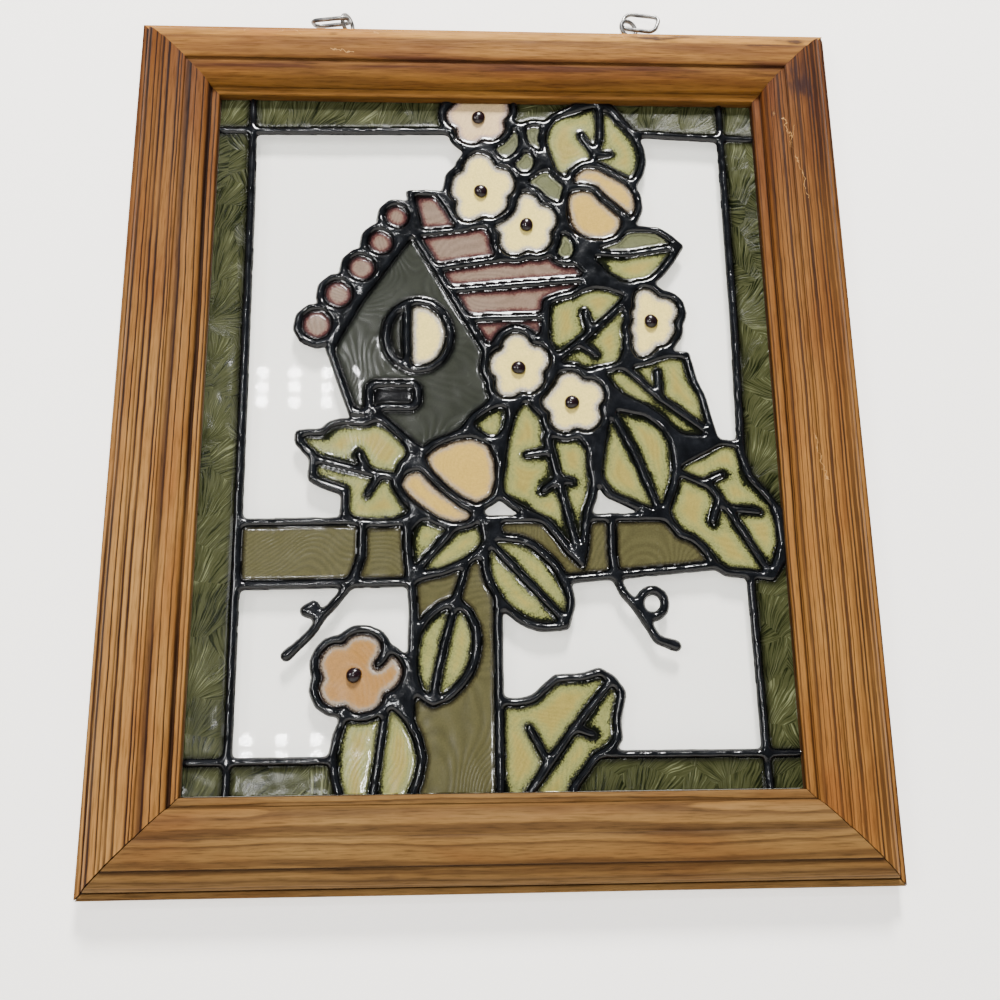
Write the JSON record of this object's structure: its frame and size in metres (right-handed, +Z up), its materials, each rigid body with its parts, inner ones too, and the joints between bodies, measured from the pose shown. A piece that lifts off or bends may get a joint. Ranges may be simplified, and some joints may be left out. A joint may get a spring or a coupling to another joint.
{
  "type": "stained glass window",
  "caption": "Framed stained-glass-effect window panel: moulded pine frame, clear glass with raised black leading and translucent enamel, and wire links to hang it by.",
  "frame": {"origin": "on the flat back of the top rail, at mid width and half the rail’s height below its top edge", "axes": "+X to the right seen from the front, +Z up, the front faces -Y and the flat back lies in the plane y = 0"},
  "size_m": [0.406, 0.022, 0.5051],
  "materials": {
    "drop": "gloss",
    "enamel_border": "gloss, frosted streaks",
    "enamel_cream": "gloss",
    "enamel_house": "gloss",
    "enamel_leaf": "gloss",
    "enamel_peach": "gloss",
    "enamel_pink": "gloss",
    "enamel_tile": "gloss",
    "enamel_wood_paint": "gloss",
    "glass": "clear, polished",
    "leading": "gloss",
    "pine": "satin",
    "wire": "dull"
  },
  "bodies": {
    "root": {"frame_rail_top": "pine", "frame_rail_bottom": "pine", "frame_stile_left": "pine", "frame_stile_right": "pine", "glass_sheet": "glass", "leading": "leading", "leading_hole_ring": "leading", "enamel_border_11": "enamel_border", "enamel_border_2": "enamel_border", "enamel_border_4": "enamel_border", "enamel_border_5": "enamel_border", "enamel_border_7": "enamel_border", "enamel_border_8": "enamel_border", "enamel_border_9": "enamel_border", "enamel_bud_front": "enamel_cream", "enamel_flower_fallen": "enamel_peach", "enamel_flower_low": "enamel_cream", "enamel_flower_middle": "enamel_cream", "enamel_flower_ridge": "enamel_cream", "enamel_flower_right": "enamel_cream", "enamel_flower_roof": "enamel_cream", "enamel_flower_top": "enamel_pink", "enamel_hole_2": "enamel_cream", "enamel_house_front": "enamel_house", "enamel_ivy_foot_1": "enamel_leaf", "enamel_ivy_foot_2": "enamel_leaf", "enamel_ivy_left_1": "enamel_leaf", "enamel_ivy_left_2": "enamel_leaf", "enamel_ivy_right_1": "enamel_leaf", "enamel_ivy_right_2": "enamel_leaf", "enamel_ivy_top_1": "enamel_leaf", "enamel_ivy_top_2": "enamel_leaf", "enamel_leaf_centre_1": "enamel_leaf", "enamel_leaf_centre_2": "enamel_leaf", "enamel_leaf_foot_1": "enamel_leaf", "enamel_leaf_foot_2": "enamel_leaf", "enamel_leaf_side_1": "enamel_leaf", "enamel_leaf_side_2": "enamel_leaf", "enamel_leaf_under_right_2": "enamel_leaf", "enamel_leaf_upper_1": "enamel_leaf", "enamel_petal_upper": "enamel_cream", "enamel_post_2": "enamel_wood_paint", "enamel_rail_1": "enamel_wood_paint", "enamel_rail_2": "enamel_wood_paint", "enamel_rail_5": "enamel_wood_paint", "enamel_roof_1": "enamel_tile", "enamel_roof_3": "enamel_tile", "enamel_roof_4": "enamel_tile", "drop_flower_top": "drop", "drop_flower_ridge": "drop", "drop_flower_roof": "drop", "drop_flower_right": "drop", "drop_flower_middle": "drop", "drop_flower_low": "drop", "drop_flower_fallen": "drop", "screw_eye_left": "wire", "screw_eye_right": "wire", "hanging_link_left": "wire", "hanging_link_right": "wire"}
  },
  "joints": []
}
